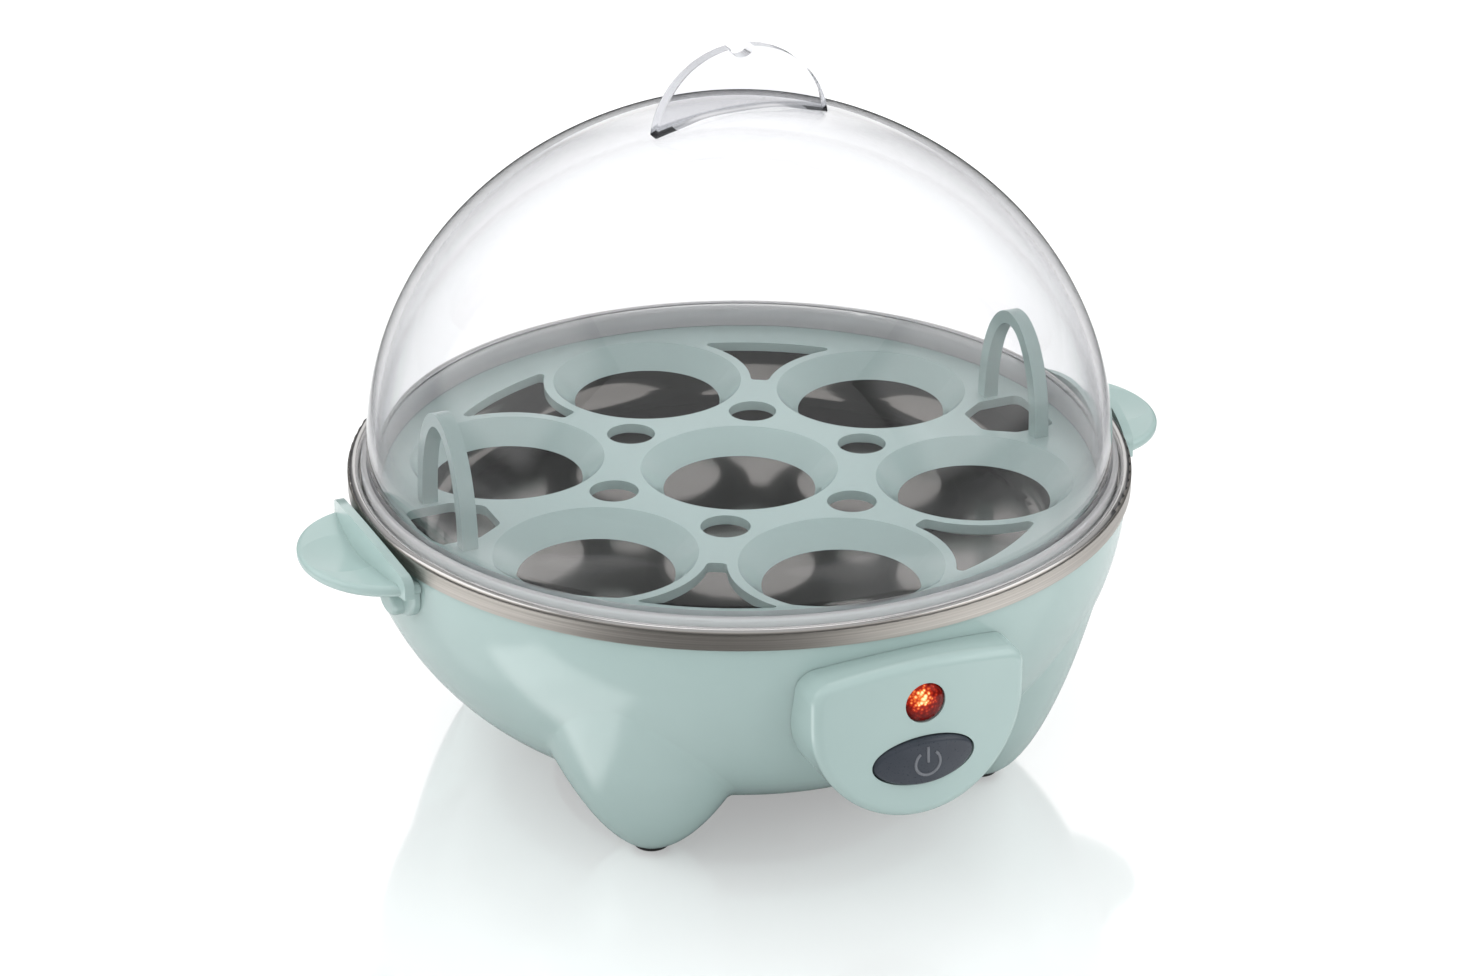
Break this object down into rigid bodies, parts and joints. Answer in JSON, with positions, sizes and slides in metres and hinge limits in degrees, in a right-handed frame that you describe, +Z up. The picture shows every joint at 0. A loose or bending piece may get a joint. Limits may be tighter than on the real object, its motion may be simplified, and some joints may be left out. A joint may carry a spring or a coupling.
{
  "type": "egg cooker",
  "caption": "Electric egg cooker: round bowl on foot lobes, steel water plate, lift-out egg rack with loops, clear dome lid with grip, side grips, front panel with lamp and push button.",
  "frame": {"origin": "on the table, under the centre of the dome and the plate", "axes": "+Z up, -Y towards the control panel, X along the two side grips (+X is right as seen from above with the panel nearest)"},
  "size_m": [0.1892, 0.1741, 0.1508],
  "materials": {
    "mint_plastic": "glossy",
    "clear_plastic": "polished",
    "steel": "brushed",
    "dark_rubber": "matt",
    "button_grey": "satin",
    "lens_red": "polished",
    "neon_glass": "polished",
    "silicone": "matt",
    "aluminium": "satin",
    "sheath_steel": "satin",
    "brass": "plain",
    "phenolic": "matt",
    "zinc_steel": "zinc plated",
    "cover_plastic": "matt"
  },
  "bodies": {
    "base": {"base_housing": "mint_plastic", "foot_pad_front_right": "dark_rubber", "foot_pad_front_left": "dark_rubber", "foot_pad_rear_right": "dark_rubber", "foot_pad_rear_left": "dark_rubber", "bottom_cover": "cover_plastic", "cover_screws": "zinc_steel", "side_screws": "zinc_steel", "panel_screws": "zinc_steel", "cord_bushing": "dark_rubber", "heating_plate": "steel", "plate_gasket": "silicone", "heat_spreader": "aluminium", "heating_element": "sheath_steel", "element_terminals": "brass", "thermostat": "phenolic", "thermostat_clip": "sheath_steel", "thermal_fuse": "silicone", "plate_studs": "zinc_steel", "stud_nuts": "zinc_steel", "left_handle": "mint_plastic", "right_handle": "mint_plastic", "control_panel": "mint_plastic", "indicator_lens": "lens_red", "neon_lamp": "neon_glass", "switch_body": "phenolic", "switch_terminals": "brass"},
    "tray": {"egg_rack": "mint_plastic"},
    "lid": {"lid_dome": "clear_plastic", "lid_grip": "clear_plastic"},
    "button": {"power_button": "button_grey"}
  },
  "joints": [
    {"name": "tray_lift", "type": "slide", "parent": "base", "child": "tray", "axis": [0, 0, 1], "range_m": [0, 0.06]},
    {"name": "lid_lift", "type": "slide", "parent": "tray", "child": "lid", "axis": [0, 0, 1], "range_m": [0, 0.1]},
    {"name": "button_press", "type": "slide", "parent": "base", "child": "button", "axis": [0, 1, 0], "range_m": [0, 0.002], "stiffness_N_per_m": 400, "springref_m": -0.002}
  ]
}
